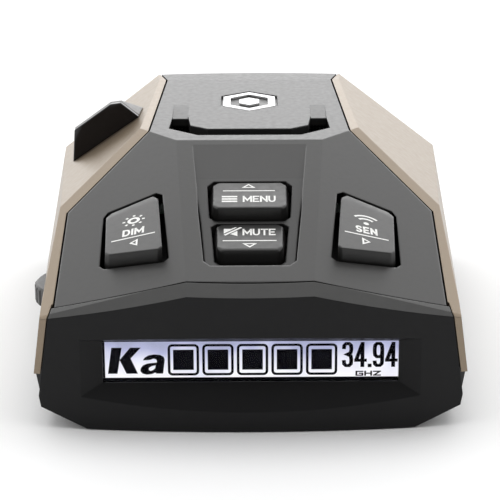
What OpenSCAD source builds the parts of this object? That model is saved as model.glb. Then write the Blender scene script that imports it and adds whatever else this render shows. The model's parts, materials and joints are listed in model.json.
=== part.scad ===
// Windshield radar detector with a sloped key deck and a segment display.
// Millimetres, +Z up. The origin is the middle of the underside. The display faces -Y,
// the lens and horn face +Y, and +X is the driver's right when looking at the display.

/* [Body] */
// Width across the feet of the side shells at the display end
body_w = 80; // [79:0.5:81]
// Length from the display face to the far lens
body_l = 107; // [106:0.5:108]
// Height of the flat top above the underside
body_h = 40; // [39.5:0.5:41]
// Widest half width of the side shells
side_limit = 41.2; // [41:0.1:42]
// How far the display face bows forward at its middle
face_bow = 3; // [2:0.5:4]
// Height of the joint between the base housing and the side shells
belt_z = 10.5; // [10:0.5:11]

/* [Walls and gaps] */
// Wall of the top cover and the base housing
wall = 2; // [1.8:0.1:2.2]
// Wall of the side shells
shell_wall = 1.8; // [1.6:0.1:2]
// Visible gap between two housing parts
seam_gap = 0.35; // [0.2:0.05:0.4]
// Fitting gap between pieces that only touch
fit_gap = 0.1; // [0.05:0.05:0.15]

/* [Keys] */
// How far each key travels
key_travel = 0.6; // [0.4:0.1:0.7]
// Gap around a key in its well
key_gap = 0.4; // [0.3:0.05:0.5]
// Depth of the key circuit board below the sloped deck
key_board_depth = 10.2; // [10:0.1:10.4]

/* [Volume wheel] */
// Radius of the thumbwheel
wheel_r = 8; // [7.8:0.1:8.1]
// Thickness of the thumbwheel
wheel_h = 3.8; // [3.4:0.1:3.9]
// Grooves around the thumbwheel
wheel_grooves = 32; // [20:1:36]

/* [Screws and boards] */
// Shank radius of the housing screws
screw_r = 1.1; // [1:0.05:1.2]
// Height of the underside of the main circuit board
board_z = 13.4; // [13.2:0.1:13.6]
// Thickness of the main circuit board
board_t = 1.6; // [1.2:0.2:1.6]

/* [Display] */
// Width of the display window
window_w = 54.6; // [54:0.1:55]
// Height of the display window
window_h = 8.25; // [8:0.05:8.3]

/* [Power socket] */
// Radius of the power socket's bore
socket_r = 1.8; // [1.7:0.05:1.9]
// Depth of the power socket's bore
socket_depth = 10; // [8:0.5:11]

/* [Hidden] */

$fn = 48;
reach = 300;      // larger than anything in the model

// ---- Body facets: each is [a point on the facet, its outward normal] ----

deck_far = [14.7, 53.1, body_h];      // where the deck's crease meets the flat top
top_corner = [20.5, 59.4, body_h];    // the flat top's corner at the seam
deck_near = [11.6, 2.75, 28.7];       // the crease at the display end
shoulder_near = [37.3, 38.8, 30.7];   // lowest corner of the far shoulder facet
shoulder_far = [19.9, 96.3, body_h];
shoulder_top = [22.5, 59.4, body_h];
belt_near = [38.45, 4.8, 22.6];       // belt line of the side, display end
belt_far = [40.6, 95.5, 26.1];        // belt line of the side, far end
foot_near = [body_w / 2, face_bow, belt_z];
tuck = [38.85, 0, 4];                 // outer edge of the underside's side bevel
sole_edge = [30.4, 0, 0];             // where that bevel meets the flat underside
far_corner = [19.7, 105.2, 0];
brow_centre = [0, 0.25, 26.6];        // lower edge of the bevel above the display
brow_side = [37.16, 2.6, 21.6];
end_bevel = [0, 98.3, body_h];        // soft bevel at the far end of the flat top
end_edge = [0, 106.4, body_h - 0.8];

function unit(v) = v / norm(v);
function normal_of(a, b, c) = let (n = unit(cross(b - a, c - a))) n;
function facing(n, way) = n * way < 0 ? -n : n;
function mirrored(f) = [[-f[0].x, f[0].y, f[0].z], [-f[1].x, f[1].y, f[1].z]];

deck_slope = atan2(body_h - deck_near.z, deck_far.y - deck_near.y);
deck_near_left = [-deck_near.x, deck_near.y, deck_near.z];
brow_near = [deck_near.x, brow_centre.y, brow_centre.z];

centre_facets = [
  [[0, 0, body_h], [0, 0, 1]],
  [[0, 0, 0], [0, 0, -1]],
  [deck_near, facing(normal_of(deck_far, deck_near, deck_near_left), [0, 0, 1])],
  [end_bevel, facing(normal_of(end_bevel, end_edge, end_edge + [1, 0, 0]), [0, 0, 1])],
  [deck_near, facing(normal_of(deck_near, deck_near_left, brow_near), [0, -1, 1])],
  [[0, body_l, 9], unit([0, 0.9, -0.45])]
];
right_facets = [
  [deck_far, facing(normal_of(top_corner, deck_far, deck_near), [0, 0, 1])],
  [shoulder_top, facing(normal_of(shoulder_top, shoulder_far, shoulder_near), [0, 0, 1])],
  [belt_near, facing(normal_of(belt_near, belt_far, shoulder_near), [1, 0, 0])],
  [belt_near, facing(normal_of(belt_near, belt_far, foot_near), [1, 0, 0])],
  [[side_limit, 0, 0], [1, 0, 0]],
  [tuck, facing(normal_of(tuck, [foot_near.x, 0, belt_z], tuck + [0, 1, 0]), [1, 0, 0])],
  [sole_edge, facing(normal_of(sole_edge, tuck, tuck + [0, 1, 0]), [0, 0, -1])],
  [far_corner, facing(normal_of(far_corner, [belt_far.x, belt_far.y, 0], far_corner + [0, 0, 1]),
                      [0, 1, 0])],
  [deck_near, facing(normal_of(deck_near, brow_near, brow_side), [0, -1, 1])]
];
facets = concat(centre_facets, right_facets, [for (f = right_facets) mirrored(f)]);

face_r = (pow(body_w / 2, 2) + pow(face_bow, 2)) / (2 * face_bow);
far_r = 120;
bezel_t = 2.35;                       // thickness of the display bezel's skin
bezel_back = bezel_t + 0.15;          // the other housing parts start here

// Plan outline of the top cover, right side from the display to the far end
seam_half = [[36.1, -5], [36.1, 5], [35.7, 36.1], [20.5, 59.4], [18.15, 98],
             [far_corner.x, far_corner.y], [21.8, 115]];
// Outline of the display bezel seen from the display, right side as [x, z]
bezel_half = [[40.4, -1], [38.75, 10.5], [37.16, 21.6], [36.1, 23.7], [33, 30]];

// ---- Placing ----

// Puts the display face's middle at its place, so that y counts from the display
module bench() {
  translate([0, -body_l / 2, 0]) children();
}

// Frame of the sloped deck: y runs up the slope and z is the height above the deck
module on_deck() {
  translate([0, deck_far.y, body_h]) rotate([deck_slope, 0, 0]) children();
}

module both_sides() {
  children();
  mirror([1, 0, 0]) children();
}

module box(low, high) {
  translate(low) cube(high - low);
}

// Extrudes a profile of [y, z] points along x, centred
module across(profile, w) {
  rotate([90, 0, 90]) linear_extrude(w, center = true) polygon(profile);
}

// Everything on the inner side of a facet, moved inwards by inset
module behind(facet, inset) {
  n = facet[1];
  translate(facet[0] - n * inset)
    rotate([0, acos(n.z), atan2(n.y, n.x)])
      translate([0, 0, -reach / 2]) cube([2 * reach, 2 * reach, reach], center = true);
}

// Everything further back than a surface that lies depth behind the bowed display face
module behind_face(depth) {
  translate([0, face_r, -10]) cylinder(r = face_r - depth, h = 70, $fn = 360);
}

// The closed outer form of the whole body, shrunk by inset on every side
module form(inset) {
  intersection() {
    intersection_for (f = facets) behind(f, inset);
    behind_face(inset);
    translate([0, body_l - far_r, -10]) cylinder(r = far_r - inset, h = 70, $fn = 360);
  }
}

module form_skin(t) {
  difference() {
    form(0);
    form(t);
  }
}

// The column inside the seam between the top cover and the side shells
module seam_column(widen) {
  right = [for (p = seam_half) [p.x + widen, p.y]];
  left = [for (i = [len(right) - 1:-1:0]) [-right[i].x, right[i].y]];
  translate([0, 0, -1]) linear_extrude(60) polygon(concat(right, left));
}

// The plug that the display bezel fills between the side shells
module bezel_column(widen) {
  right = [for (p = bezel_half) [p.x + widen, p.y]];
  left = [for (i = [len(right) - 1:-1:0]) [-right[i].x, right[i].y]];
  translate([0, 6.2, 0]) rotate([90, 0, 0]) linear_extrude(12) polygon(concat(right, left));
}

// ---- Key wells, keys and their switches ----

// Channel floor as [y, z] points: a steeper ramp, then a gentler floor
ramp_top = [51.3, 39.6];
floor_break = [41.4, 35.6];
floor_near = [7.6, floor_break.y - tan(15) * (floor_break.x - 7.6)];
channel_half = [[11.4, 52], [8.6, 9.4], [7.3, 7.8]];
// Groove between the channel's floor and its side wall, in plan
channel_groove = [[10.3, 35.6], [9.35, 26], [8.2, 9.6], [8.6, 9.6], [9.85, 26]];
groove_depth = 1;

// Wells in the deck frame, as [x, y] corners
menu_well = [[-7.1, -13.4], [7.1, -13.4], [8.35, -15.1], [7.75, -26.1], [6.6, -27.3],
             [-6.6, -27.3], [-7.75, -26.1], [-8.35, -15.1]];
mute_well = [[-6.4, -28.1], [6.4, -28.1], [7.4, -29.1], [6.6, -40.8], [5.6, -41.8],
             [-5.6, -41.8], [-6.6, -40.8], [-7.4, -29.1]];
dim_well = [[-27.5, -21.9], [-18.2, -18.6], [-16.9, -19.8], [-15.1, -42.6], [-16, -43.6],
            [-27.2, -41.6], [-28.1, -40.4], [-28.3, -23.6]];

// Key tops in the deck frame, as [x, y] corners in the order of their well's corners
menu_top = [[-6.2, -13.8], [6.2, -13.8], [7.15, -15.2], [7.05, -25.2], [6.2, -26.2],
            [-6.2, -26.2], [-7.05, -25.2], [-7.15, -15.2]];
mute_top = [[-5.3, -28.5], [5.3, -28.5], [6.3, -29.6], [6.15, -39.4], [5.3, -40.5],
            [-5.3, -40.5], [-6.15, -39.4], [-6.3, -29.6]];
dim_top = [[-26.9, -25.3], [-18.2, -21.9], [-17.6, -22.5], [-16.3, -41.4], [-17, -42.2],
           [-26.3, -40.3], [-27, -39.4], [-27.6, -26.4]];
// Outline of the two side keys below their tops, narrower than their wells
dim_body = [[-27.1, -22.3], [-18.5, -19], [-17.3, -20.2], [-15.9, -42.2], [-16.6, -43.2],
            [-26.8, -41.3], [-27.6, -40.3], [-28.1, -23.9]];
// Plane of each top, as its height at the frame's origin and its slopes along x and y
menu_plane = [-3.81, 0, -0.1488];
mute_plane = [-6.575, 0, -0.155];
dim_plane = [1.64, 0.2444, -0.0845];
key_foot = -6.6;                      // underside of every key in the deck frame
key_cheek = 2.6;                      // height of a key's tapering part
key_brow = 0.4;                       // drop of a side key's sloping far edge
switch_h = 2.2;
switch_w = 6;
plunger_r = 1.6;
menu_at = [0, -20.8];
mute_at = [0, -35];
dim_at = [-21.8, -31.5];
sen_at = [-dim_at.x, dim_at.y];

function centre_of(pts) = [for (i = [0:1]) (min([for (p = pts) p[i]]) + max([for (p = pts) p[i]])) / 2];
// Moves each corner towards the middle by about the given amount
function shrunk(pts, by) =
  let (c = centre_of(pts)) [for (p = pts) let (d = [p.x - c.x, p.y - c.y])
    [p.x - by * sign(d.x) * min(1, abs(d.x) / 4), p.y - by * sign(d.y) * min(1, abs(d.y) / 4)]];

module well(outline) {
  on_deck() translate([0, 0, -12]) linear_extrude(20) polygon(outline);
}

// A key: straight-sided below the deck and tapering up to its tilted top
module key(outline, top_outline, plane, brow = key_cheek) {
  top = [for (p = top_outline) [p.x, p.y, plane[0] + plane[1] * p.x + plane[2] * p.y]];
  base = shrunk(outline, key_gap);
  n = len(base);
  far = max([for (p = top_outline) p.y]) - 6;
  low = [for (p = base) [p.x, p.y, key_foot]];
  mid = [for (i = [0:n - 1])
    [base[i].x, base[i].y, top[i].z - (top[i].y > far ? brow : key_cheek)]];
  bench() on_deck() hull() {
    polyhedron(points = concat(low, [for (p = low) p + [0, 0, 0.5]]),
               faces = concat([[for (i = [0:n - 1]) i]], [[for (i = [n - 1:-1:0]) n + i]],
                              [for (i = [0:n - 1]) [i, n + i, n + (i + 1) % n, (i + 1) % n]]));
    polyhedron(points = concat(mid, top),
               faces = concat([[for (i = [0:n - 1]) i]], [[for (i = [n - 1:-1:0]) n + i]],
                              [for (i = [0:n - 1]) [i, n + i, n + (i + 1) % n, (i + 1) % n]]));
  }
}

module plunger(at) {
  color("ivory") bench() on_deck() translate([at.x, at.y, -key_board_depth + key_travel + 0.2])
    cylinder(r = plunger_r, h = key_board_depth + key_foot - key_travel - 0.25);
}

// ---- Screw and post places, [x, y] from the display ----

cover_post = [28.2, 38.8];
shell_post = [28.2, 87];
board_holes = [[24, 14.5], [22, 95]];
post_r = 2.4;
post_foot = 4.2;
pilot_r = screw_r + 0.05;
head_r = 2.3;

module post(at, top) {
  translate([at.x, at.y, post_foot]) cylinder(r = post_r, h = top - post_foot);
}

module pilot(at) {
  translate([at.x, at.y, 0]) cylinder(r = pilot_r, h = 13);
}

// ---- Mount slot in the flat top ----

slot_outline = [[-10.5, 56.5], [10.5, 56.5], [16.5, 61.2], [16, 69.4], [12.7, 69.4],
                [12.1, 63.3], [8.55, 60.8], [-8.55, 60.8], [-12.1, 63.3], [-12.7, 69.4],
                [-16, 69.4], [-16.5, 61.2]];
ramp_near = 69.3;
ramp_far = 78.2;
ramp_drop = 0.4;
socket_z = [32.2, body_h - wall - fit_gap];
socket_outline = [[-15.5, 55.5], [15.5, 55.5], [17.6, 58], [17.6, 79.5], [-17.6, 79.5],
                  [-17.6, 58]];
socket_pocket = [[-15, 56.4], [15, 56.4], [16.7, 58.4], [16.7, 78.6], [-16.7, 78.6],
                 [-16.7, 58.4]];

// ---- Volume wheel ----

wheel_at = [wheel_r - 40.7, 18.4, 19.2];
wheel_room = 0.3;

// ---- Power socket ----

socket_at = [0, 60, 18];
socket_face = 37.9;
socket_tip = 40.1;

module wheel_clearance() {
  translate(wheel_at - [0, 0, wheel_room])
    cylinder(r = wheel_r + wheel_room, h = wheel_h + 2 * wheel_room);
}

// ---- Emblem ----

emblem_at = [0, 81.3];
emblem_half = [5.5, 7];

// A hexagon with points at its near and far ends
module hexagon(half, t) {
  linear_extrude(t) polygon([[0, half.y], [half.x, half.y / 2], [half.x, -half.y / 2],
                             [0, -half.y], [-half.x, -half.y / 2], [-half.x, half.y / 2]]);
}

// ================= Housing =================

module top_cover() {
  outline = concat(channel_half,
                   [for (i = [2:-1:0]) [-channel_half[i].x, channel_half[i].y]]);
  tub = 1.9;
  color("dimgray") bench() difference() {
    union() {
      intersection() {
        union() {
          form_skin(wall);
          // Tub below the key channel
          intersection() {
            form(0);
            across([[5.6, floor_near.y - tub - 0.6], [floor_break.x, floor_break.y - tub],
                    [ramp_top.x + 1, ramp_top.y - tub], [ramp_top.x + 1, 50], [5.6, 50]], 26);
            linear_extrude(50) polygon([[12.9, 54], [10.1, 8.7], [8.5, 6.2], [-8.5, 6.2],
                                        [-10.1, 8.7], [-12.9, 54]]);
          }
        }
        seam_column(-seam_gap / 2);
        behind_face(bezel_back);
        box([-50, -5, 12], [50, 120, 50]);
      }
      intersection() {
        both_sides() post(cover_post, 33);
        form(0.5);
      }
    }
    // The far face below the cover's lip belongs to the lens
    box([-50, 90, -1], [50, 120, 27.3]);
    // Key channel
    intersection() {
      across([floor_near, floor_break, ramp_top, [ramp_top.x, 50], [floor_near.x, 50]], 40);
      translate([0, 0, 10]) linear_extrude(50) polygon(outline);
    }
    both_sides() intersection() {
      across([floor_near - [0, groove_depth], floor_break - [0, groove_depth],
              floor_break + [0, 9], floor_near + [0, 9]], 40);
      translate([0, 0, 10]) linear_extrude(50) polygon(channel_groove);
    }
    well(menu_well);
    well(mute_well);
    both_sides() well(dim_well);
    // Mount slot, and the two ramps that lead a bracket into it
    translate([0, 0, body_h - 5]) linear_extrude(10) polygon(slot_outline);
    both_sides() translate([14.4, 0, 0])
      across([[ramp_far, body_h], [ramp_near, body_h - ramp_drop], [ramp_near, body_h + 1],
              [ramp_far, body_h + 1]], 3.2);
    translate([emblem_at.x, emblem_at.y, body_h - 0.5]) hexagon(emblem_half + [0.5, 0.5], 2);
    wheel_clearance();
    both_sides() pilot(cover_post);
  }
}

module side_shell() {
  difference() {
    union() {
      difference() {
        form_skin(shell_wall);
        seam_column(seam_gap / 2);
        bezel_column(0.05);
        box([-60, -5, -1], [60, 120, belt_z + fit_gap]);
        box([-60, -5, -1], [0, 120, 60]);
      }
      intersection() {
        post(shell_post, 36);
        form(0.5);
      }
    }
    pilot(shell_post);
  }
}

module side_shell_left() {
  color("tan") bench() difference() {
    mirror([1, 0, 0]) side_shell();
    wheel_clearance();
    // Slot for the rear sensor's leads, under its hood
    box([-33.6, rear_y + 1.6, 26], [-31.8, rear_y + 3.2, 40]);
  }
}

module side_shell_right() {
  color("tan") bench() difference() {
    side_shell();
    translate([30, socket_at.y, socket_at.z]) rotate([0, 90, 0]) cylinder(r = 3.4, h = 20);
  }
}

speaker_at = [0, 38];
speaker_r = 14;
plate_half = [17, 10];
plate_at = [0, 78];

module base_housing() {
  color("black") bench() difference() {
    union() {
      intersection() {
        form_skin(wall);
        box([-60, -5, -1], [60, 120, belt_z]);
        behind_face(bezel_back);
      }
      intersection() {
        form(0);
        both_sides() for (p = [cover_post, shell_post])
          translate([p.x, p.y, 0]) cylinder(r = 4, h = post_foot - fit_gap);
      }
      both_sides() for (p = board_holes)
        translate([p.x, p.y, 1]) cylinder(r = 2.4, h = board_z - 1);
    }
    both_sides() for (p = [cover_post, shell_post]) translate([p.x, p.y, -1]) {
      cylinder(r = head_r + 0.2, h = 3.4);
      cylinder(r = screw_r + 0.3, h = 10);
    }
    both_sides() for (p = board_holes) translate([p.x, p.y, 6]) cylinder(r = 0.85, h = 20);
    // Speaker slots
    for (i = [-4:4]) box([i * 2.6 - 0.65, speaker_at.y - 11 + abs(i), -1],
                         [i * 2.6 + 0.65, speaker_at.y + 11 - abs(i), 5]);
    box([plate_at.x - plate_half.x, plate_at.y - plate_half.y, -1],
        [plate_at.x + plate_half.x, plate_at.y + plate_half.y, 0.35]);
  }
}

recess_y = 3.4;                       // the window sits this far behind the face's middle
window_z = 8.55;
pane_t = 0.8;
glass_t = 1.1;
backlight_t = 1.8;
glass_y = recess_y + 1.2;
backlight_y = glass_y + glass_t + fit_gap;
display_board_y = backlight_y + backlight_t + fit_gap;
display_board_t = 1.1;

module display_bezel() {
  top_z = window_z + window_h;
  half = window_w / 2 + 0.05;
  color([0.13, 0.13, 0.14]) bench() difference() {
    intersection() {
      form(0);
      bezel_column(-0.15);
      union() {
        difference() {
          box([-60, -5, -1], [60, 12, 60]);
          behind_face(bezel_t);
        }
        box([-33, 0.8, 5.4], [33, recess_y + 1.1, 19.6]);
      }
    }
    // Recess whose four ramps run from the bowed face to the edges of the window
    intersection() {
      across([[recess_y, top_z], [recess_y, window_z], [0, 3.9], [-1, 2.5],
              [-1, top_z + 2.36], [0, top_z + 1.82]], 90);
      linear_extrude(50) polygon([[-half, recess_y], [-31.3, 1.84], [-40, -1.6], [-40, -3],
                                  [40, -3], [40, -1.6], [31.3, 1.84], [half, recess_y]]);
    }
    box([-window_w / 2, 0, window_z], [window_w / 2, 8, top_z]);
  }
}

module display_window() {
  y = recess_y + 0.1;
  color([0.8, 0.85, 0.9, 0.35]) bench()
    box([-window_w / 2 + 0.05, y, window_z + 0.05],
        [window_w / 2 - 0.05, y + pane_t, window_z + window_h - 0.05]);
}

module lcd_glass() {
  color("lavender") bench() box([-29.5, glass_y, 6.6], [29.5, glass_y + glass_t, 18.4]);
}

module lcd_backlight() {
  color("white") bench()
    box([-29.5, backlight_y, 6], [29.5, backlight_y + backlight_t, 18.8]);
}

module display_board() {
  color("darkgreen") bench()
    box([-31, display_board_y, 5.4], [31, display_board_y + display_board_t, 19.2]);
}

// Right-angle header between the display board and the main board
module display_header() {
  y = display_board_y + display_board_t + fit_gap;
  z = board_z + board_t + fit_gap;
  color("black") bench() union() {
    box([-10, y, z - 3.2], [10, y + 1.6, z + 2.4]);
    box([-10, y, z], [10, y + 5, z + 2.4]);
  }
}

// ================= Keys =================

module button_menu() {
  color("gray") key(menu_well, menu_top, menu_plane);
}

module button_mute() {
  color("gray") key(mute_well, mute_top, mute_plane);
}

module button_dim() {
  color("gray") key(dim_body, dim_top, dim_plane, key_brow);
}

module button_sen() {
  color("gray") mirror([1, 0, 0]) key(dim_body, dim_top, dim_plane, key_brow);
}

module plunger_menu() {
  plunger(menu_at);
}

module plunger_mute() {
  plunger(mute_at);
}

module plunger_dim() {
  plunger(dim_at);
}

module plunger_sen() {
  plunger(sen_at);
}

module tact_switches() {
  color("black") bench() on_deck() for (p = [menu_at, mute_at, dim_at, sen_at])
    translate([p.x, p.y, -key_board_depth]) difference() {
      translate([-switch_w / 2, -switch_w / 2, 0]) cube([switch_w, switch_w, switch_h]);
      translate([0, 0, -1]) cylinder(r = plunger_r + 0.08, h = switch_h + 2);
    }
}

module key_board() {
  color("darkgreen") bench() on_deck()
    translate([0, 0, -key_board_depth - fit_gap - 1.2]) linear_extrude(1.2)
      polygon([[-23.6, -42.5], [23.6, -42.5], [23.6, -34.8], [25.2, -34.8], [25.2, -11.5],
               [-25.2, -11.5], [-25.2, -34.8], [-23.6, -34.8]]);
}

module key_board_header() {
  color("black") bench()
    box([-10, 42.5, board_z + board_t + fit_gap], [10, 45, 25.4]);
}

// ================= Electronics =================

module main_board() {
  outline = [[-35, 11.2], [35, 11.2], [35, 92.5], [22, 100.5], [-22, 100.5], [-35, 92.5]];
  color("darkgreen") bench() translate([0, 0, board_z + fit_gap]) difference() {
    linear_extrude(board_t - fit_gap) polygon(outline);
    both_sides() for (p = [cover_post, shell_post])
      translate([p.x, p.y, -1]) cylinder(r = 3, h = 4);
    both_sides() for (p = board_holes) translate([p.x, p.y, -1]) cylinder(r = 1, h = 4);
  }
}

board_top = board_z + board_t + fit_gap;

module board_chips() {
  color([0.1, 0.1, 0.1]) bench() union() {
    box([-7, 18, board_top], [7, 32, board_top + 1.4]);
    box([12, 20, board_top], [19, 28, board_top + 1]);
    box([-20, 22, board_top], [-13, 27, board_top + 1.5]);
    box([18, 70, board_top], [24, 76, board_top + 1.2]);
  }
}

module filter_capacitors() {
  color("slategray") bench() for (x = [16, 23.5])
    translate([x, 50, board_top]) cylinder(r = 3.1, h = 7);
}

horn_x = -4;

// Cast horn: a rectangular throat that opens to a wide mouth towards the far lens
module horn_antenna() {
  color("silver") bench() translate([horn_x, 0, board_top]) difference() {
    union() {
      box([-7, 60, 0], [7, 68, 8]);
      hull() {
        box([-7, 67, 0], [7, 68, 8]);
        box([-15, 100, 0], [15, 101.5, 19]);
      }
    }
    hull() {
      box([-5.4, 66, 1.4], [5.4, 66.5, 6.4]);
      box([-13.8, 101.4, 1.4], [13.8, 102.5, 17.8]);
    }
  }
}

module rf_shield() {
  low = [horn_x - 12, 47, board_top];
  high = [horn_x + 12, 59.7, board_top + 7];
  t = [0.4, 0.4, 0.4];
  color("gainsboro") bench() difference() {
    box(low, high);
    box([low.x + t.x, low.y + t.y, low.z - 1], high - t);
  }
}

module front_lens() {
  color([0.12, 0.02, 0.03]) bench() intersection() {
    form_skin(wall);
    seam_column(-seam_gap / 2);
    box([-50, 99.5, belt_z + fit_gap], [50, 120, 27.3 - fit_gap]);
  }
}

laser_at = [15.6, 100.8, 21];

// Condenser lens of the forward laser sensor
module front_laser_lens() {
  color([0.4, 0.1, 0.1]) bench() translate(laser_at) rotate([-90, 0, 0]) {
    translate([0, 0, -3]) cylinder(r = 3.6, h = 3);
    intersection() {
      cylinder(r = 3.6, h = 3);
      translate([0, 0, -5.8]) sphere(r = 7);
    }
  }
}

module front_laser_sensor() {
  color([0.15, 0.15, 0.18]) bench() union() {
    box([laser_at.x - 2.5, 94.6, laser_at.z - 2.5], [laser_at.x + 2.5, 97.6, laser_at.z + 2.5]);
    for (x = [-1.3, 1.3])
      box([laser_at.x + x - 0.25, 95, board_top], [laser_at.x + x + 0.25, 95.5, laser_at.z - 2]);
  }
}

// Rear sensor face as [x, z] corners
rear_face = [[-37.4, 28.6], [-36.9, 36], [-29.2, 41.6], [-27, 41.9], [-23, 38.7]];
rear_y = 73.6;
rear_lens_t = 1.3;

// Wedge-shaped hood that stands on the left shoulder and slopes away behind its lens
module rear_laser_hood() {
  y = rear_y + rear_lens_t + fit_gap;
  color([0.55, 0.55, 0.55]) bench() difference() {
    hull() {
      translate([0, y + 0.8, 0]) rotate([90, 0, 0]) linear_extrude(0.8) polygon(rear_face);
      box([-24.2, 80, 37.4], [-22.6, 80.5, 38.9]);
      box([-37, 88, 28.4], [-35.5, 88.5, 30]);
    }
    intersection() {
      form(-0.06);
      box([-60, 60, 0], [0, 120, 60]);
    }
    box([-34.8, y - 1, 30], [-30.6, y + 2.1, 36.4]);
  }
}

module rear_laser_lens() {
  color([0.08, 0.08, 0.09]) bench() difference() {
    translate([0, rear_y + rear_lens_t, 0]) rotate([90, 0, 0])
      linear_extrude(rear_lens_t) polygon(rear_face);
    intersection() {
      form(-0.06);
      box([-60, 60, 0], [0, 120, 60]);
    }
  }
}

module rear_laser_sensor() {
  y = rear_y + rear_lens_t + fit_gap;
  color([0.2, 0.2, 0.25]) bench() box([-34.4, y + 0.3, 33.5], [-31, y + 1.9, 36]);
}

// ================= Volume control =================

module volume_wheel() {
  groove_r = 0.35;
  bevel = 0.5;
  rim = [[1.6, 0], [wheel_r - bevel, 0], [wheel_r, bevel], [wheel_r, wheel_h - bevel],
         [wheel_r - bevel, wheel_h], [1.6, wheel_h]];
  color("darkgray") bench() translate(wheel_at) difference() {
    rotate_extrude($fn = 72) polygon(rim);
    for (i = [0:wheel_grooves - 1]) rotate([0, 0, i * 360 / wheel_grooves])
      translate([wheel_r + 0.1, 0, -1]) cylinder(r = groove_r, h = wheel_h + 2, $fn = 16);
  }
}

module volume_shaft() {
  color("silver") bench() translate([wheel_at.x, wheel_at.y, 16.2])
    cylinder(r = 1.55, h = wheel_at.z + wheel_h - 16.2);
}

module volume_pot() {
  color("slategray") bench() difference() {
    box([wheel_at.x - 3.7, wheel_at.y - 4.5, board_top],
        [wheel_at.x + 3.7, wheel_at.y + 4.5, wheel_at.z - 0.5]);
    translate([wheel_at.x, wheel_at.y, 16]) cylinder(r = 1.6, h = 10);
  }
}

// ================= Speaker =================

module speaker_basket() {
  profile = [[12.7, 2.1], [speaker_r, 2.1], [speaker_r, 4.4], [9.2, 9], [3, 9], [3, 8.2],
             [8.8, 8.2], [12.7, 4.4]];
  color("dimgray") bench() translate([speaker_at.x, speaker_at.y, 0])
    rotate_extrude() polygon(profile);
}

module speaker_magnet() {
  color([0.3, 0.3, 0.32]) bench() translate([speaker_at.x, speaker_at.y, 9 + fit_gap])
    cylinder(r = 8.5, h = 4);
}

module speaker_cone() {
  profile = [[0, 5], [3.5, 6.2], [12.4, 3], [12.4, 3.4], [3.7, 6.7], [3.7, 7.8], [3.2, 7.8],
             [3.2, 6.6], [0, 5.5]];
  color([0.15, 0.15, 0.15]) bench() translate([speaker_at.x, speaker_at.y, 0])
    rotate_extrude() polygon(profile);
}

// ================= Sockets, trim and screws =================

module power_socket() {
  color([0.12, 0.12, 0.12]) bench() difference() {
    union() {
      box([socket_face - 12, socket_at.y - 4, board_top], [socket_face, socket_at.y + 4, 21.6]);
      translate([socket_face - 2, socket_at.y, socket_at.z]) rotate([0, 90, 0])
        cylinder(r = 2.9, h = socket_tip - socket_face + 2);
    }
    translate([socket_tip - socket_depth, socket_at.y, socket_at.z])
      rotate([0, 90, 0]) cylinder(r = socket_r, h = socket_depth + 1);
  }
}

module mount_socket() {
  floor_z = socket_z[0] + 0.8;
  rib_w = 0.35;
  color([0.1, 0.1, 0.1]) bench() union() {
    difference() {
      translate([0, 0, socket_z[0]]) linear_extrude(socket_z[1] - socket_z[0])
        polygon(socket_outline);
      translate([0, 0, floor_z]) linear_extrude(10) polygon(socket_pocket);
    }
    both_sides() for (i = [0:4]) box([12.6 + i * 0.8, 58.5, floor_z - 0.1],
                                     [12.6 + i * 0.8 + rib_w, 78, floor_z + 0.4]);
  }
}

module emblem() {
  color("silver") bench() translate([emblem_at.x, emblem_at.y, body_h - 0.45]) {
    difference() {
      hexagon(emblem_half, 0.4);
      translate([0, 0, -1]) hexagon(emblem_half - [1.5, 1.7], 3);
    }
    hexagon(emblem_half - [3.4, 4.2], 0.4);
  }
}

module housing_screws() {
  color("dimgray") bench() both_sides() for (p = [cover_post, shell_post])
    translate([p.x, p.y, 0.7]) difference() {
      union() {
        cylinder(r = head_r, h = 1.6);
        cylinder(r = screw_r, h = 11);
      }
      for (a = [0, 90]) rotate([0, 0, a])
        translate([-1.5, -0.3, -1]) cube([3, 0.6, 1.8]);
    }
}

module board_screws() {
  color("silver") bench() both_sides() for (p = board_holes) translate([p.x, p.y, board_top])
    difference() {
      union() {
        cylinder(r = 1.8, h = 1.2);
        translate([0, 0, -6.5]) cylinder(r = 0.8, h = 7);
      }
      translate([-1.3, -0.25, 0.7]) cube([2.6, 0.5, 2]);
    }
}

module rating_plate() {
  color("gainsboro") bench()
    box([plate_at.x - plate_half.x + 0.2, plate_at.y - plate_half.y + 0.2, 0.05],
        [plate_at.x + plate_half.x - 0.2, plate_at.y + plate_half.y - 0.2, 0.3]);
}

top_cover();
side_shell_left();
side_shell_right();
base_housing();
display_bezel();
display_window();
lcd_glass();
lcd_backlight();
display_board();
display_header();
button_menu();
button_mute();
button_dim();
button_sen();
plunger_menu();
plunger_mute();
plunger_dim();
plunger_sen();
tact_switches();
key_board();
key_board_header();
main_board();
board_chips();
filter_capacitors();
horn_antenna();
rf_shield();
front_lens();
front_laser_lens();
front_laser_sensor();
rear_laser_hood();
rear_laser_lens();
rear_laser_sensor();
volume_wheel();
volume_shaft();
volume_pot();
speaker_basket();
speaker_magnet();
speaker_cone();
power_socket();
mount_socket();
emblem();
housing_screws();
board_screws();
rating_plate();
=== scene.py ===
import json
import math

import bmesh
import bpy
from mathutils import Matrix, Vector
from mathutils.bvhtree import BVHTree
from mathutils.geometry import tessellate_polygon


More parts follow.
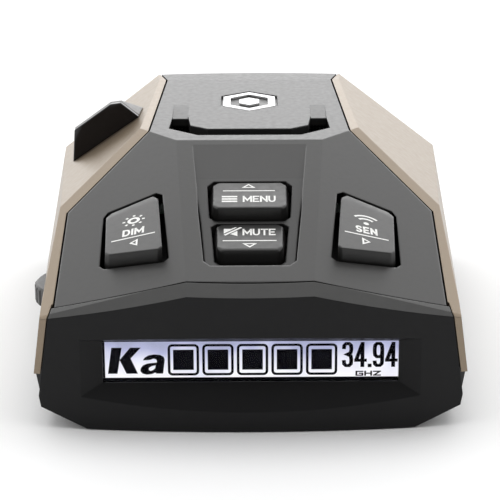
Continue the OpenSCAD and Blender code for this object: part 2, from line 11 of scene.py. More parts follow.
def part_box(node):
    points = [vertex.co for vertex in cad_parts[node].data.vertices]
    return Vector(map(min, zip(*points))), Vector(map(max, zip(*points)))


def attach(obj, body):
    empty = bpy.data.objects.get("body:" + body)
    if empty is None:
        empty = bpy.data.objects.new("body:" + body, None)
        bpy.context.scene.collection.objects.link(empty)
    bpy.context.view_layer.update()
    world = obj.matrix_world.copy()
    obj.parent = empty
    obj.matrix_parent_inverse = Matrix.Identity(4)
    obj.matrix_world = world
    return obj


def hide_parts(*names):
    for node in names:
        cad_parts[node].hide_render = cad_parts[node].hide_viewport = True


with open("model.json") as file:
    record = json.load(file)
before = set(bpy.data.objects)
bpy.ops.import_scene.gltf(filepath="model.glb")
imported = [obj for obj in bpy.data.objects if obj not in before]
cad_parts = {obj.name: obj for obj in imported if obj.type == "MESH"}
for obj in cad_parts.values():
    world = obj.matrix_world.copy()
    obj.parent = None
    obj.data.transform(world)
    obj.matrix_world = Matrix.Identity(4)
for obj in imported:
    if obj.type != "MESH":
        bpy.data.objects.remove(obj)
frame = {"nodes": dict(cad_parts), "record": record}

MM = 0.001
FACE_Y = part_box("display_bezel")[0][1] / MM
nodes = frame["nodes"]
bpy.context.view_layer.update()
slot_of = {s["node"]: s["material_slot"] for s in frame["record"]["subparts"]}
body_of_node = {}
for body, members in frame["record"]["behaviour"]["bodies"].items():
    for member in members:
        body_of_node[member] = body


# ---------------------------------------------------------------- materials

# Most of a noise pattern lies between these two levels
NOISE_LOW = 0.3
NOISE_HIGH = 0.7

# Metres per wave of the wave pattern at scale 1
WAVE_PERIOD = 0.314


class Nodes:
    """A short way to build one material's node tree."""

    def __init__(self, name, rounding=0.0):
        self.rounding = rounding
        self.material = bpy.data.materials.new(name)
        self.material.use_nodes = True
        self.tree = self.material.node_tree
        self.shader = self.tree.nodes["Principled BSDF"]
        self.place = self.add("ShaderNodeTexCoord").outputs["Object"]

    def add(self, kind, **settings):
        node = self.tree.nodes.new(kind)
        for key, value in settings.items():
            setattr(node, key, value)
        return node

    def link(self, source, target):
        self.tree.links.new(source, target)

    def noise(self, scale, detail, roughness=0.5):
        node = self.add("ShaderNodeTexNoise")
        node.inputs["Scale"].default_value = scale
        node.inputs["Detail"].default_value = detail
        node.inputs["Roughness"].default_value = roughness
        self.link(self.place, node.inputs["Vector"])
        return node.outputs["Fac"]

    def ramp(self, factor, stops):
        node = self.add("ShaderNodeValToRGB")
        elements = node.color_ramp.elements
        while len(elements) < len(stops):
            elements.new(0.5)
        for element, (at, colour) in zip(elements, stops):
            element.position = at
            element.color = (*colour, 1)
        self.link(factor, node.inputs["Fac"])
        return node.outputs["Color"]

    def spread(self, factor, low, high):
        node = self.add("ShaderNodeMapRange")
        node.inputs["From Min"].default_value = NOISE_LOW
        node.inputs["From Max"].default_value = NOISE_HIGH
        node.inputs["To Min"].default_value = low
        node.inputs["To Max"].default_value = high
        self.link(factor, node.inputs["Value"])
        return node.outputs["Result"]

    def bump(self, height, depth):
        node = self.add("ShaderNodeBump")
        node.inputs["Distance"].default_value = depth
        self.link(height, node.inputs["Height"])
        if self.rounding:
            edges = self.add("ShaderNodeBevel", samples=6)
            edges.inputs["Radius"].default_value = self.rounding * MM
            self.link(edges.outputs["Normal"], node.inputs["Normal"])
        self.link(node.outputs["Normal"], self.shader.inputs["Normal"])


def shade(colour, factor):
    return tuple(min(1, c * factor) for c in colour)


def moulded(name, colour, rough, grain=0.012, vary=0.08, coat=0.0, specular=0.5, rounding=0.2):
    """Moulded plastic: fine spark-eroded grain, soft blotches of tone and uneven gloss."""
    m = Nodes(name, rounding)
    fine = m.noise(9000, 3)
    broad = m.noise(140, 4, 0.6)
    tones = [(NOISE_LOW, shade(colour, 1 - vary)), (NOISE_HIGH, shade(colour, 1 + vary))]
    m.link(m.ramp(broad, tones), m.shader.inputs["Base Color"])
    m.link(m.spread(m.noise(900, 3), rough - 0.04, rough + 0.05), m.shader.inputs["Roughness"])
    m.shader.inputs["Specular IOR Level"].default_value = specular
    m.shader.inputs["Coat Weight"].default_value = coat
    m.shader.inputs["Coat Roughness"].default_value = 0.12
    m.bump(fine, grain * MM)
    return m.material


def lacquer(name, colour, flake):
    """Satin metallic lacquer with fine flakes under a thin clear coat."""
    m = Nodes(name, 0.35)
    sparkle = m.noise(16000, 1)
    m.link(m.ramp(sparkle, [(0.3, colour), (0.55, shade(colour, 1.06)), (0.8, flake)]),
           m.shader.inputs["Base Color"])
    m.link(m.spread(m.noise(700, 3), 0.36, 0.42), m.shader.inputs["Roughness"])
    m.shader.inputs["Metallic"].default_value = 0.5
    m.shader.inputs["Coat Weight"].default_value = 0.25
    m.shader.inputs["Coat Roughness"].default_value = 0.25
    m.bump(m.noise(2500, 2), 0.0002 * MM)
    return m.material


def metal(name, colour, rough, grain_scale=6000, depth=0.01):
    """Bare or plated metal with uneven polish."""
    m = Nodes(name, 0.08)
    tones = [(NOISE_LOW, shade(colour, 0.86)), (NOISE_HIGH, shade(colour, 1.06))]
    m.link(m.ramp(m.noise(400, 4), tones), m.shader.inputs["Base Color"])
    m.link(m.spread(m.noise(1500, 3), rough - 0.06, rough + 0.08), m.shader.inputs["Roughness"])
    m.shader.inputs["Metallic"].default_value = 1.0
    m.bump(m.noise(grain_scale, 3), depth * MM)
    return m.material


def polished(name, colour, rough=0.06, transmission=0.0, ior=1.49, specular=0.5):
    """Smooth clear or dark plastic with faint moulding waves."""
    m = Nodes(name)
    tones = [(NOISE_LOW, shade(colour, 0.94)), (NOISE_HIGH, shade(colour, 1.04))]
    m.link(m.ramp(m.noise(300, 2), tones), m.shader.inputs["Base Color"])
    m.link(m.spread(m.noise(500, 3), rough * 0.6, rough * 1.5), m.shader.inputs["Roughness"])
    m.shader.inputs["IOR"].default_value = ior
    m.shader.inputs["Transmission Weight"].default_value = transmission
    m.shader.inputs["Specular IOR Level"].default_value = specular
    m.bump(m.noise(1200, 2), 0.0015 * MM)
    return m.material


def solder_mask(name):
    """Green board with tracks that show faintly under the mask."""
    m = Nodes(name)
    tracks = m.add("ShaderNodeTexBrick")
    tracks.inputs["Scale"].default_value = 260
    tracks.inputs["Mortar Size"].default_value = 0.03
    tracks.inputs["Color1"].default_value = (0.012, 0.10, 0.035, 1)
    tracks.inputs["Color2"].default_value = (0.016, 0.13, 0.045, 1)
    tracks.inputs["Mortar"].default_value = (0.03, 0.2, 0.08, 1)
    m.link(m.place, tracks.inputs["Vector"])
    m.link(tracks.outputs["Color"], m.shader.inputs["Base Color"])
    m.link(m.spread(m.noise(900, 2), 0.28, 0.4), m.shader.inputs["Roughness"])
    m.bump(tracks.outputs["Fac"], 0.02 * MM)
    return m.material


def ribbed(name, colour, pitch):
    """Dark plastic with fine crossed ribs that grip the bracket; the rib crests are painted
    lighter and the hollows darker, as painted light and shade.
    """
    m = Nodes(name)
    heights = []
    for direction in ("X", "Z"):
        wave = m.add("ShaderNodeTexWave", bands_direction=direction)
        wave.inputs["Scale"].default_value = WAVE_PERIOD / pitch
        m.link(m.place, wave.inputs["Vector"])
        heights.append(wave.outputs["Fac"])
    both = m.add("ShaderNodeMath", operation="MULTIPLY")
    m.link(heights[0], both.inputs[0])
    m.link(heights[1], both.inputs[1])
    # Colour follows rib height: painted highlight on the crests, painted shade in the hollows
    m.link(m.ramp(both.outputs["Value"], [(0.1, shade(colour, 0.3)), (0.6, shade(colour, 3.0))]),
           m.shader.inputs["Base Color"])
    m.link(m.spread(m.noise(900, 3), 0.4, 0.5), m.shader.inputs["Roughness"])
    m.bump(both.outputs["Value"], 0.15 * MM)
    return m.material


def ink(name, colour):
    """Pad-printed ink: slightly uneven cover."""
    m = Nodes(name)
    m.link(m.ramp(m.noise(4000, 3), [(0.25, shade(colour, 0.85)), (0.6, colour)]),
           m.shader.inputs["Base Color"])
    m.link(m.spread(m.noise(2500, 2), 0.44, 0.56), m.shader.inputs["Roughness"])
    m.bump(m.noise(7000, 2), 0.004 * MM)
    return m.material


def lit_screen(name, low_z, high_z):
    """Backlit display: lavender at the top, fading to white below, with soft pools of light."""
    m = Nodes(name)
    split = m.add("ShaderNodeSeparateXYZ")
    m.link(m.place, split.inputs["Vector"])
    height = m.add("ShaderNodeMapRange")
    height.inputs["From Min"].default_value = low_z
    height.inputs["From Max"].default_value = high_z
    m.link(split.outputs["Z"], height.inputs["Value"])
    pools = m.add("ShaderNodeMath", operation="MULTIPLY_ADD")
    m.link(m.noise(170, 1), pools.inputs[0])
    pools.inputs[1].default_value = 0.9
    pools.inputs[2].default_value = -0.45
    total = m.add("ShaderNodeMath", operation="ADD")
    m.link(height.outputs["Result"], total.inputs[0])
    m.link(pools.outputs["Value"], total.inputs[1])
    glow = m.ramp(total.outputs["Value"], [(0.0, (0.95, 0.95, 0.99)), (0.45, (0.76, 0.77, 0.9)),
                                          (0.8, (0.42, 0.44, 0.66)), (1.0, (0.36, 0.38, 0.56))])
    m.link(glow, m.shader.inputs["Emission Color"])
    m.shader.inputs["Emission Strength"].default_value = 1.0
    m.shader.inputs["Base Color"].default_value = (0.05, 0.05, 0.06, 1)
    m.shader.inputs["Roughness"].default_value = 0.3
    return m.material


GREY = (0.024, 0.0235, 0.023)
BRONZE = (0.235, 0.183, 0.128)

finish = {
    "cover_grey": moulded("cover_grey", GREY, 0.32, grain=0.0006, vary=0.03, rounding=0.45),
    "shell_bronze": lacquer("shell_bronze", BRONZE, (0.28, 0.22, 0.157)),
    "base_black": moulded("base_black", (0.008, 0.008, 0.009), 0.45),
    "bezel_black": moulded("bezel_black", (0.006, 0.006, 0.0065), 0.45, grain=0.002, vary=0.05,
                           specular=0.22),
    "window_clear": polished("window_clear", (1.0, 1.0, 1.0), 0.02, 1.0, ior=1.12,
                             specular=0.1),
    "lcd_pale": polished("lcd_pale", (0.003, 0.003, 0.008), 0.3, specular=0.05),
    "backlight_white": moulded("backlight_white", (0.75, 0.75, 0.8), 0.3),
    "board_green": solder_mask("board_green"),
    "component_black": moulded("component_black", (0.015, 0.015, 0.016), 0.5),
    "key_grey": moulded("key_grey", (0.02, 0.0195, 0.019), 0.33, grain=0.002, vary=0.03,
                        specular=0.45, rounding=0.4),
    "plunger_ivory": moulded("plunger_ivory", (0.7, 0.66, 0.55), 0.4),
    "sleeve_blue": moulded("sleeve_blue", (0.02, 0.04, 0.16), 0.3, coat=0.3),
    "cast_metal": metal("cast_metal", (0.62, 0.62, 0.6), 0.45, 2500, 0.04),
    "tin_plate": metal("tin_plate", (0.6, 0.6, 0.58), 0.28),
    "lens_dark": polished("lens_dark", (0.006, 0.005, 0.006), 0.08),
    "lens_red": polished("lens_red", (0.5, 0.03, 0.04), 0.05, 0.8),
    "hood_grey": moulded("hood_grey", (0.16, 0.155, 0.15), 0.34, grain=0.006),
    "wheel_grey": moulded("wheel_grey", (0.035, 0.034, 0.034), 0.4),
    "shaft_steel": metal("shaft_steel", (0.6, 0.6, 0.6), 0.25),
    "magnet_dark": moulded("magnet_dark", (0.05, 0.05, 0.052), 0.6, grain=0.03),
    "cone_black": moulded("cone_black", (0.02, 0.02, 0.02), 0.75, grain=0.04),
    "emblem_silver": metal("emblem_silver", (0.8, 0.8, 0.8), 0.42, depth=0.002),
    "screw_black": metal("screw_black", (0.1, 0.1, 0.1), 0.35),
    "label_silver": moulded("label_silver", (0.4, 0.4, 0.4), 0.35),
}


# ---------------------------------------------------------------- pieces

SEAM = 0.002             # corners nearer than this, in mm, are one corner
FLAT_ANGLE = 0.25        # facets that meet within this angle, in degrees, are one facet
EDGE_ANGLE = 16          # edges that turn by more than this, in degrees, are rounded
EDGE_SEGMENTS = 2
FACET_WEIGHT = 80        # how far large facets keep their own direction at the roundings


def put(obj):
    bpy.context.scene.collection.objects.link(obj)
    return obj


def paint(obj, material):
    obj.data.materials.clear()
    obj.data.materials.append(material)


def clean_copy(node, smooth):
    """The node's solid as a mesh of whole facets: seams closed and flat areas joined."""
    mesh = nodes[node].data.copy()
    bm = bmesh.new()
    bm.from_mesh(mesh)
    bmesh.ops.remove_doubles(bm, verts=bm.verts, dist=SEAM * MM)
    bmesh.ops.dissolve_limit(bm, angle_limit=math.radians(FLAT_ANGLE), verts=bm.verts,
                             edges=bm.edges)
    for face in bm.faces:
        face.smooth = smooth
    bm.to_mesh(mesh)
    bm.free()
    return mesh


def softened(node, width):
    """Stands for a CAD node: the same solid, with its moulded edges rounded if width is set."""
    obj = put(bpy.data.objects.new(node + "_moulding", clean_copy(node, width > 0)))
    paint(obj, finish[slot_of[node]])
    if width:
        bevel = obj.modifiers.new("edges", "BEVEL")
        bevel.width = width * MM
        bevel.segments = EDGE_SEGMENTS
        bevel.limit_method = "ANGLE"
        bevel.angle_limit = math.radians(EDGE_ANGLE)
        bevel.use_clamp_overlap = True
        bevel.miter_outer = "MITER_ARC"
        even = obj.modifiers.new("facets", "WEIGHTED_NORMAL")
        even.keep_sharp = True
        even.weight = FACET_WEIGHT
    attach(obj, body_of_node[node])
    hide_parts(node)
    return obj


for name, obj in nodes.items():
    paint(obj, finish[slot_of[name]])

# Width of the rounding in mm; zero where the solid's own facets are kept as they are
EDGES = {
    "top_cover": 0, "display_bezel": 0, "side_shell_left": 0, "side_shell_right": 0,
    "button_menu": 0.35, "button_mute": 0.5, "button_dim": 0.45, "button_sen": 0.45,
    "rear_laser_hood": 0.25, "rear_laser_lens": 0.2, "front_lens": 0.2, "mount_socket": 0.1,
    "volume_wheel": 0.08, "power_socket": 0.15,
}
soft = {node: softened(node, width) for node, width in EDGES.items()}

# The bezel's face is black. Its band, high up and tilted up, is painted dark grey: painted light,
# standing for the light from above on its upward faces
LIT_BAND_ABOVE = 0.018
LIT_BAND_TILT = 0.35
bezel = soft["display_bezel"]
bezel.data.materials.append(moulded("bezel_band_painted_light", (0.035, 0.035, 0.034), 0.42, grain=0.002))
for face in bezel.data.polygons:
    if face.normal.z > LIT_BAND_TILT and face.center.z > LIT_BAND_ABOVE:
        face.material_index = 1

# Faces inside the parting lines and the grooves beside the channel are painted as shadow
shadow = moulded("shadow_gap", (0.001, 0.001, 0.001), 0.9, specular=0.02)
UPRIGHT = 0.3                   # an upright face has less than this of its normal in z

# The channel's floor falls towards the display from (along, height), in mm
FLOOR_TOP = (41.4, 35.6)
FLOOR_SLOPE = math.tan(math.radians(15))
GROOVE_ACROSS = (8, 10.5)       # from the middle
GROOVE_ALONG = (9, 36)          # from the display face
GROOVE_DEPTH = (0.3, 1.1)       # below the floor

# The cover's parting lines with the side shells and with the bezel
SIDE_LINE_BEYOND = 15
SIDE_LINE_TURN = 0.4
FRONT_LINE_BEFORE = 8
FRONT_LINE_TURN = -0.7


def between(value, limits):
    return limits[0] < value < limits[1]


def in_cover_gap(face):
    across, along, height = face.center.x / MM, face.center.y / MM - FACE_Y, face.center.z / MM
    under_floor = FLOOR_TOP[1] - FLOOR_SLOPE * (FLOOR_TOP[0] - along) - height
    beside_channel = between(abs(across), GROOVE_ACROSS) and between(along, GROOVE_ALONG)
    groove = beside_channel and between(under_floor, GROOVE_DEPTH)
    upright = abs(face.normal.z) < UPRIGHT
    side = upright and abs(face.normal.x) > SIDE_LINE_TURN and abs(across) > SIDE_LINE_BEYOND
    front = upright and face.normal.y < FRONT_LINE_TURN and along < FRONT_LINE_BEFORE
    return groove or side or front


def in_shell_gap(face):
    return face.normal.x * face.center.x < 0 and abs(face.normal.z) < UPRIGHT


for node, hidden in (("top_cover", in_cover_gap), ("side_shell_left", in_shell_gap),
                     ("side_shell_right", in_shell_gap)):
    soft[node].data.materials.append(shadow)
    for face in soft[node].data.polygons:
        if hidden(face):
            face.material_index = 1

# The key board is painted near black in place of its green: painted shade for the well interiors
# and the gaps around the keys
paint(nodes["key_board"], moulded("black_mask_painted_shade", (0.004, 0.004, 0.004), 0.5))
paint(soft["mount_socket"], ribbed("socket_ribs", (0.09, 0.09, 0.09), 0.0007))


# ---------------------------------------------------------------- printed legends

STROKE_PIECE = 0.7       # longest piece of a stroke in mm, so that it follows the surface
MITRE_LIMIT = 0.35       # keeps sharp corners from reaching far out
CURVE_STEPS = 14
RAY_START = 3            # height in mm from which a drawing is dropped on its surface
STRAIGHT = 0.01

# Letters and figures as a relative width and stroke paths in a unit square
LETTERS = {
    "D": (0.85, [[(0, 0), (0, 1), (0.5, 1), (0.85, 0.9), (1, 0.65), (1, 0.35), (0.85, 0.1),
                  (0.5, 0), (0, 0)]]),
    "E": (0.75, [[(1, 1), (0, 1), (0, 0), (1, 0)], [(0, 0.5), (0.8, 0.5)]]),
    "G": (1, [[(1, 1), (0, 1), (0, 0), (1, 0), (1, 0.5), (0.55, 0.5)]]),
    "H": (1, [[(0, 0), (0, 1)], [(1, 0), (1, 1)], [(0, 0.5), (1, 0.5)]]),
    "I": (0, [[(0, 0), (0, 1)]]),
    "M": (1.15, [[(0, 0), (0, 1)], [(1, 0), (1, 1)], [(0.05, 0.92), (0.5, 0.25), (0.95, 0.92)]]),
    "N": (0.9, [[(0, 0), (0, 1)], [(1, 0), (1, 1)], [(0.05, 0.94), (0.95, 0.06)]]),
    "S": (0.8, [[(1, 0.78), (0.88, 0.94), (0.6, 1), (0.4, 1), (0.12, 0.94), (0, 0.76),
                 (0.12, 0.58), (0.5, 0.5), (0.88, 0.42), (1, 0.24), (0.88, 0.06), (0.6, 0),
                 (0.4, 0), (0.12, 0.06), (0, 0.22)]]),
    "T": (0.85, [[(0, 1), (1, 1)], [(0.5, 1), (0.5, 0)]]),
    "U": (0.85, [[(0, 1), (0, 0.3), (0.15, 0.08), (0.4, 0), (0.6, 0), (0.85, 0.08), (1, 0.3),
                  (1, 1)]]),
    "Z": (1, [[(0, 1), (1, 1)], [(0, 0), (1, 0)], [(0.9, 0.95), (0.1, 0.05)]]),
    "3": (1, [[(0, 0.75), (0.05, 0.92), (0.3, 1), (0.7, 1), (0.95, 0.92), (1, 0.74),
               (0.9, 0.58), (0.45, 0.51), (0.92, 0.44), (1, 0.26), (0.95, 0.08), (0.7, 0),
               (0.3, 0), (0.05, 0.08), (0, 0.25)]]),
    "4": (1.15, [[(0.72, 0), (0.72, 1)], [(0, 0.24), (1, 0.24)], [(0.02, 0.27), (0.66, 0.97)]]),
    "9": (1, [[(0.3, 1), (0.7, 1), (0.94, 0.92), (1, 0.76), (1, 0.62), (0.94, 0.46), (0.7, 0.4),
               (0.3, 0.4), (0.06, 0.48), (0, 0.62), (0, 0.78), (0.06, 0.92), (0.3, 1)],
              [(1, 0.7), (1, 0.2), (0.94, 0.07), (0.7, 0), (0.3, 0), (0.06, 0.07), (0, 0.22)]]),
    ".": (0, [[(0, -0.01), (0, 0.01)]]),
}


def square_ended(points, reach):
    """Carries open ends on by reach where they run straight up or across."""
    ends = [Vector(p) for p in points]
    for end, inner in ((0, 1), (-1, -2)):
        way = (ends[end] - ends[inner]).normalized()
        if min(abs(way.x), abs(way.y)) < STRAIGHT:
            ends[end] += way * reach
    return ends


class Print:
    """A flat drawing in millimetres that is laid on a surface as a thin film of ink."""

    def __init__(self):
        self.bm = bmesh.new()

    def polygon(self, points):
        self.bm.faces.new([self.bm.verts.new((x, y, 0)) for x, y in points])

    def stroke(self, points, width, closed=False):
        """A line of even width through the points, mitred at its corners."""
        corners = [Vector(p) for p in points]
        pts = []
        for i, p in enumerate(corners):
            pts.append(p)
            if i < len(corners) - 1 or closed:
                after = corners[(i + 1) % len(corners)]
                cuts = int((after - p).length / STROKE_PIECE)
                pts += [p.lerp(after, k / (cuts + 1)) for k in range(1, cuts + 1)]
        n = len(pts)
        left, right = [], []
        for i, p in enumerate(pts):
            before = pts[i - 1] if i or closed else None
            after = pts[(i + 1) % n] if i < n - 1 or closed else None
            a = (p - before).normalized() if before is not None else (after - p).normalized()
            b = (after - p).normalized() if after is not None else a
            side = Vector((-(a + b).y, (a + b).x)).normalized()
            reach = width / 2 / max(MITRE_LIMIT, side.dot(Vector((-b.y, b.x))))
            left.append(p + side * reach)
            right.append(p - side * reach)
        for i in range(n if closed else n - 1):
            j = (i + 1) % n
            self.polygon([right[i], right[j], left[j], left[i]])

    def arc(self, centre, radius, start, end, width, steps=CURVE_STEPS):
        turn = [math.radians(start + (end - start) * i / steps) for i in range(steps + 1)]
        closed = abs(end - start) >= 360
        pts = [(centre[0] + radius * math.cos(t), centre[1] + radius * math.sin(t)) for t in turn]
        self.stroke(pts[:-1] if closed else pts, width, closed)

    def disc(self, centre, radius):
        turns = [2 * math.pi * i / CURVE_STEPS for i in range(CURVE_STEPS)]
        self.polygon([(centre[0] + radius * math.cos(turn), centre[1] + radius * math.sin(turn))
                      for turn in turns])

    def outline(self, border, hole):
        """A filled shape with one hole."""
        loops = [[Vector((x, y, 0)) for x, y in loop] for loop in (border, hole)]
        verts = [self.bm.verts.new(p) for loop in loops for p in loop]
        for corners in tessellate_polygon(loops):
            self.bm.faces.new([verts[i] for i in corners])

    def spell(self, word, low, high, weight, space=0.35, stretch=1.0):
        """Letters of even strokes that fill the box from low to high.

        A stretch over 1 makes the level strokes thicker than the upright ones.
        """
        shapes = [LETTERS[c] for c in word]
        step = weight * (1 + space)
        room = high[0] - low[0] - weight - step * (len(word) - 1)
        scale = room / sum(width for width, paths in shapes)
        tall = (high[1] - low[1]) / stretch - weight
        left = low[0] + weight / 2
        foot = low[1] / stretch + weight / 2
        done = len(self.bm.verts)
        for width, paths in shapes:
            for path in paths:
                points = [(left + x * width * scale, foot + y * tall) for x, y in path]
                if path[0] == path[-1]:
                    self.stroke(points[:-1], weight, closed=True)
                else:
                    self.stroke(square_ended(points, weight / 2), weight)
            left += width * scale + step
        for v in list(self.bm.verts)[done:]:
            v.co.y *= stretch

    def lay(self, name, origin, across, normal, material, body, lift=0.02, on=None):
        """Moves the drawing to origin and, if on is given, drops it on that object's surface."""
        across = Vector(across).normalized()
        normal = Vector(normal).normalized()
        across = (across - normal * across.dot(normal)).normalized()
        up = normal.cross(across)
        tree = None
        if on is not None:
            tree = BVHTree.FromPolygons([v.co for v in on.vertices],
                                        [tuple(p.vertices) for p in on.polygons])
        for v in self.bm.verts:
            p = Vector(origin) * MM + (across * v.co.x + up * v.co.y) * MM
            if tree:
                hit = tree.ray_cast(p + normal * RAY_START * MM, -normal)
                p = hit[0] if hit[0] is not None else p
            v.co = p + normal * (lift + v.co.z) * MM
        for face in self.bm.faces:
            face.normal_update()
            if face.normal.dot(normal) < 0:
                face.normal_flip()
        mesh = bpy.data.meshes.new(name)
        self.bm.to_mesh(mesh)
        self.bm.free()
        obj = put(bpy.data.objects.new(name, mesh))
        paint(obj, material)
        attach(obj, body)


legend_ink = ink("legend_ink", (0.85, 0.85, 0.83))
LETTER_WEIGHT = 0.35
LETTER_STRETCH = 1.5


def on_part(p):
    """A place measured from the display face, in the part's own frame."""
    return (p[0], p[1] + FACE_Y, p[2])


def menu_legend():
    art = Print()
    art.stroke([(-1.25, 4.05), (0.8, 4.05), (-0.22, 5.5)], 0.36, closed=True)
    art.stroke([(-5.2, 2.35), (4.9, 2.35)], 0.42)
    for i in range(3):
        art.stroke([(-5.4, -0.56 - 1.16 * i), (-2.4, -0.56 - 1.16 * i)], 0.72)
    art.spell("MENU", (-1.35, -3.25), (5.0, -0.2), LETTER_WEIGHT, stretch=LETTER_STRETCH)
    return art


def mute_legend():
    art = Print()
    art.polygon([(-4.95, 1.35), (-2.45, 4.25), (-2.75, 4.4), (-3.57, 3.6), (-4.95, 3.6)])
    art.polygon([(-3.75, 1.05), (-3.5, 0.95), (-2.37, 0.15), (-2.37, 2.65)])
    art.stroke([(-4.8, 0.6), (-1.65, 4.3)], 0.5)
    art.spell("MUTE", (-1.4, 0.5), (4.85, 3.55), LETTER_WEIGHT, stretch=LETTER_STRETCH)
    art.stroke([(-5.1, -2.0), (5.0, -2.0)], 0.42)
    art.stroke([(-1.1, -3.45), (1.0, -3.45), (-0.05, -4.9)], 0.36, closed=True)
    return art


def dim_legend():
    art = Print()
    sun = Vector((-0.15, 2.6))
    art.arc(sun, 0.95, 0, 360, 0.62, steps=24)
    for i in range(8):
        ray = Vector((math.cos(math.pi / 4 * i), math.sin(math.pi / 4 * i)))
        art.stroke([sun + ray * 1.65, sun + ray * 2.2], 0.5)
    art.spell("DIM", (-2.15, -3.35), (2.1, -0.7), 0.42, space=0.45, stretch=1.3)
    art.stroke([(-4.2, -4.3), (4.3, -4.3)], 0.4)
    art.stroke([(-0.35, -6.65), (0.85, -5.75), (0.85, -7.75)], 0.36, closed=True)
    return art


def sen_legend():
    art = Print()
    source = (0.1, 0.75)
    art.disc(source, 0.55)
    for radius in (1.9, 3.1):
        art.arc(source, radius, 45, 135, 0.52)
    art.spell("SEN", (-2.1, -3.35), (2.15, -0.7), 0.42, space=0.45, stretch=1.3)
    art.stroke([(-4.3, -4.3), (4.2, -4.3)], 0.4)
    art.stroke([(0.35, -6.65), (-0.85, -5.75), (-0.85, -7.75)], 0.36, closed=True)
    return art


LEGENDS = [
    ("menu", menu_legend(), (0, 33.42, 34.76), (0, -0.07, 1)),
    ("mute", mute_legend(), (0, 19.73, 31.38), (0, -0.09, 1)),
    ("dim", dim_legend(), (-22, 23.12, 32.12), (-0.24, -0.13, 0.96)),
    ("sen", sen_legend(), (22, 23.12, 32.12), (0.24, -0.13, 0.96)),
]
for key, art, at, normal in LEGENDS:
    art.lay("legend_" + key, on_part(at), (1, 0, 0), normal, legend_ink, "key_" + key,
            on=nodes["button_" + key].data)


# ---------------------------------------------------------------- display

SCREEN = ((-26.9, 9.05), (27.25, 16.2))     # lit area as (x, z)
screen_ink = ink("screen_segments", (0.002, 0.002, 0.006))
screen_ink.node_tree.nodes["Principled BSDF"].inputs["Specular IOR Level"].default_value = 0
screen_mat = lit_screen("screen_glow", SCREEN[0][1] * MM, SCREEN[1][1] * MM)
glass_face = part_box("lcd_glass")[0][1] / MM


def lay_on_glass(name, art, material, lift):
    art.lay(name, (0, glass_face, 0), (1, 0, 0), (0, -1, 0), material, "body", lift=lift)


def rounded_square(centre, half, corner):
    points = []
    for cx, cy, start in ((1, 1, 0), (-1, 1, 90), (-1, -1, 180), (1, -1, 270)):
        for step in range(6):
            turn = math.radians(start + 18 * step)
            points.append((centre[0] + cx * (half[0] - corner) + corner * math.cos(turn),
                           centre[1] + cy * (half[1] - corner) + corner * math.sin(turn)))
    return points


glow = Print()
(x0, z0), (x1, z1) = SCREEN
glow.polygon([(x0, z0), (x1, z0), (x1, z1), (x0, z1)])
lay_on_glass("screen_glow", glow, screen_mat, 0.02)

BAR_COUNT = 5
BAR_FIRST = (-12.4, 12.57)
BAR_STEP = 6.38

segments = Print()
segments.polygon([(-26.4, 9.85), (-24.65, 9.85), (-23.75, 15.05), (-25.65, 15.05)])
segments.polygon([(-24.2, 12.6), (-22.2, 15.05), (-20.2, 15.05), (-22.15, 12.9), (-20.85, 9.85),
                  (-22.95, 9.85)])
segments.outline(
    [(-19.9, 12.5), (-19.55, 13.05), (-18.85, 13.5), (-17.85, 13.7), (-16.7, 13.6),
     (-16.05, 13.2), (-15.85, 12.6), (-15.95, 11.75), (-16.2, 9.85), (-17.5, 9.85),
     (-17.6, 10.1), (-18.25, 9.75), (-19.2, 9.65), (-20, 9.85), (-20.4, 10.35), (-20.3, 10.95),
     (-19.9, 11.5), (-19.1, 11.85), (-18.05, 12), (-17.35, 12.05), (-17.3, 12.5),
     (-17.55, 12.75), (-18, 12.85), (-18.45, 12.6)],
    [(-17.55, 11.5), (-18.25, 11.35), (-18.8, 11), (-18.85, 10.6), (-18.5, 10.4),
     (-18.05, 10.55), (-17.65, 10.95)])
for i in range(BAR_COUNT):
    middle = (BAR_FIRST[0] + BAR_STEP * i, BAR_FIRST[1])
    segments.stroke(rounded_square(middle, (2.66, 2.9), 0.65), 0.48, closed=True)
    segments.polygon(rounded_square(middle, (1.9, 2.02), 0.05))
segments.spell("34.94", (16.85, 10.95), (27.15, 15.95), 0.72, space=0.25, stretch=0.85)
segments.spell("GHZ", (19.4, 9.2), (24.1, 10.2), 0.34, space=0.5, stretch=0.7)
lay_on_glass("screen_segments", segments, screen_ink, 0.04)


# ---------------------------------------------------------------- studio

def aim(obj, target):
    obj.rotation_euler = (Vector(target) - obj.location).to_track_quat("-Z", "Y").to_euler()


def softbox(name, place, target, size, power):
    light = bpy.data.lights.new(name, "AREA")
    light.shape = "RECTANGLE"
    light.size, light.size_y = size
    light.energy = power
    obj = put(bpy.data.objects.new(name, light))
    obj.location = place
    aim(obj, target)


def white_floor():
    m = Nodes("floor_white")
    m.link(m.ramp(m.noise(3, 2), [(0.3, (0.93, 0.93, 0.93)), (0.7, (0.96, 0.96, 0.96))]),
           m.shader.inputs["Base Color"])
    m.shader.inputs["Roughness"].default_value = 0.9
    m.shader.inputs["Specular IOR Level"].default_value = 0.1
    mesh = bpy.data.meshes.new("floor")
    half = 6
    drop = -0.2 * MM
    corners = [(-half, -half, drop), (half, -half, drop), (half, half, drop), (-half, half, drop)]
    mesh.from_pydata(corners, [], [(0, 1, 2, 3)])
    obj = put(bpy.data.objects.new("floor", mesh))
    paint(obj, m.material)


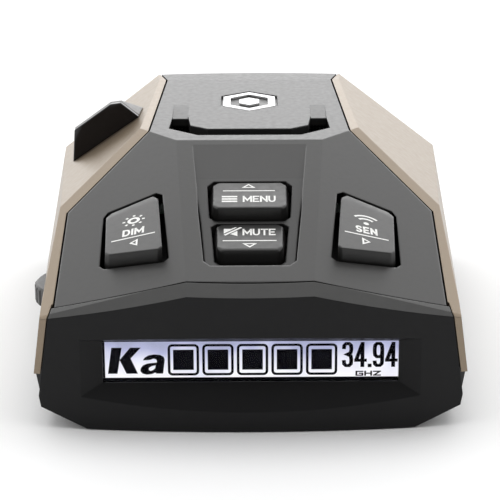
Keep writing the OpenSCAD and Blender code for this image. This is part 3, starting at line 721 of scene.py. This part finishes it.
# Name, place, what it faces and size, all in metres, and power in watts
SOFTBOXES = [
    ("back_box", (0, 1.4, 0.5), (0, 0, 0.02), (2.6, 0.6), 7.5),
    ("top_box", (0, 0.1, 1.3), (0, 0, 0), (1.6, 1.2), 6),
    ("left_box", (-1.2, 0.2, 0.6), (0, 0, 0.02), (1.0, 1.0), 1.5),
    ("right_box", (1.2, 0.2, 0.6), (0, 0, 0.02), (1.0, 1.0), 1.5),
]

white_floor()
for box in SOFTBOXES:
    softbox(*box)

# The y of a direction, and how bright the surroundings are there
VIEWER_SIDE = (-0.8, 0.17)
FAR_SIDE = (0.3, 1.25)


def studio_world():
    """White behind, beside and above the object, dimmer on the viewer's side."""
    world = bpy.data.worlds.new("studio")
    world.use_nodes = True
    tree = world.node_tree
    tree.nodes["Background"].inputs["Color"].default_value = (1, 1, 1, 1)
    way = tree.nodes.new("ShaderNodeTexCoord")
    split = tree.nodes.new("ShaderNodeSeparateXYZ")
    tree.links.new(way.outputs["Generated"], split.inputs["Vector"])
    level = tree.nodes.new("ShaderNodeMapRange")
    level.inputs["From Min"].default_value = VIEWER_SIDE[0]
    level.inputs["From Max"].default_value = FAR_SIDE[0]
    level.inputs["To Min"].default_value = VIEWER_SIDE[1]
    level.inputs["To Max"].default_value = FAR_SIDE[1]
    tree.links.new(split.outputs["Y"], level.inputs["Value"])
    tree.links.new(level.outputs["Result"], tree.nodes["Background"].inputs["Strength"])
    return world


bpy.context.scene.world = studio_world()
bpy.context.scene.view_settings.view_transform = "Standard"

EYE_PLACE = (0, -0.41863, 0.16861)
EYE_TARGET = (0, -0.04275, 0.0318)
EYE_ROLL = -0.3          # degrees
SENSOR = 36
LENS = 156.24
NEAREST = 0.01

camera = bpy.data.cameras.new("camera")
camera.sensor_width = SENSOR
camera.lens = LENS
camera.clip_start = NEAREST
eye = put(bpy.data.objects.new("camera", camera))
eye.location = EYE_PLACE
aim(eye, EYE_TARGET)
eye.rotation_euler.rotate_axis("Z", math.radians(EYE_ROLL))
bpy.context.scene.camera = eye
